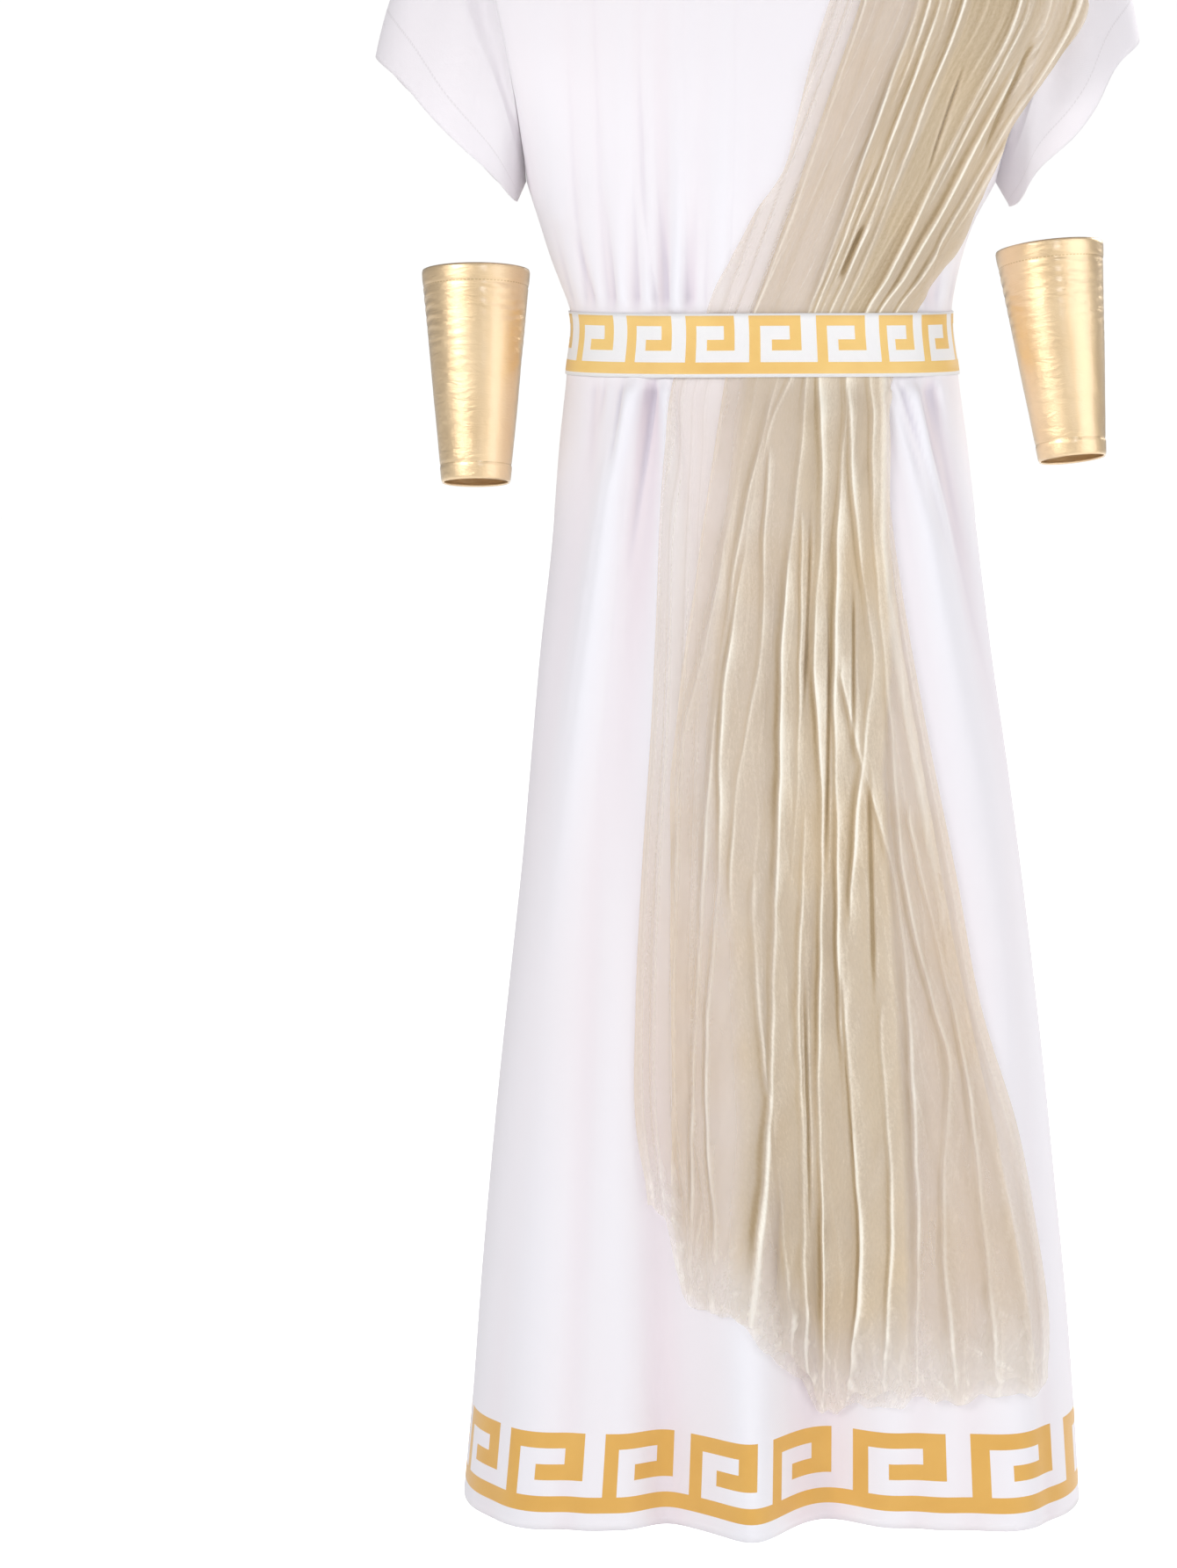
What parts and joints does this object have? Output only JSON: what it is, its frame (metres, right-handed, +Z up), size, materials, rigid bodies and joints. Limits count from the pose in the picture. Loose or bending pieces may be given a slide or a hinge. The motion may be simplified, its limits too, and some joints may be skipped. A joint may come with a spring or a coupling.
{
  "type": "greek god costume",
  "caption": "Long white draped robe with short wide sleeves, Greek key hem and belt, a sheer gold shoulder drape and gold forearm cuffs.",
  "frame": {"origin": "between the two shoulder seams, at their neck ends, where the wearer's shoulders carry the robe", "axes": "+Z up, -Y to the front, +X to the wearer's left"},
  "size_m": [0.646, 0.3382, 1.448],
  "materials": {
    "robe": "smooth white polyester knit with a soft sheen",
    "belt": "white woven band printed with a gold Greek key",
    "drape": "crinkled sheer champagne-gold voile",
    "cuff": "shiny gold lame"
  },
  "bodies": {
    "root": {"robe_front": "robe", "robe_back": "robe", "sleeve_left": "robe", "sleeve_right": "robe", "belt": "belt", "drape_upper": "drape", "drape_lower": "drape", "cuff_left": "cuff", "cuff_right": "cuff"}
  },
  "joints": []
}
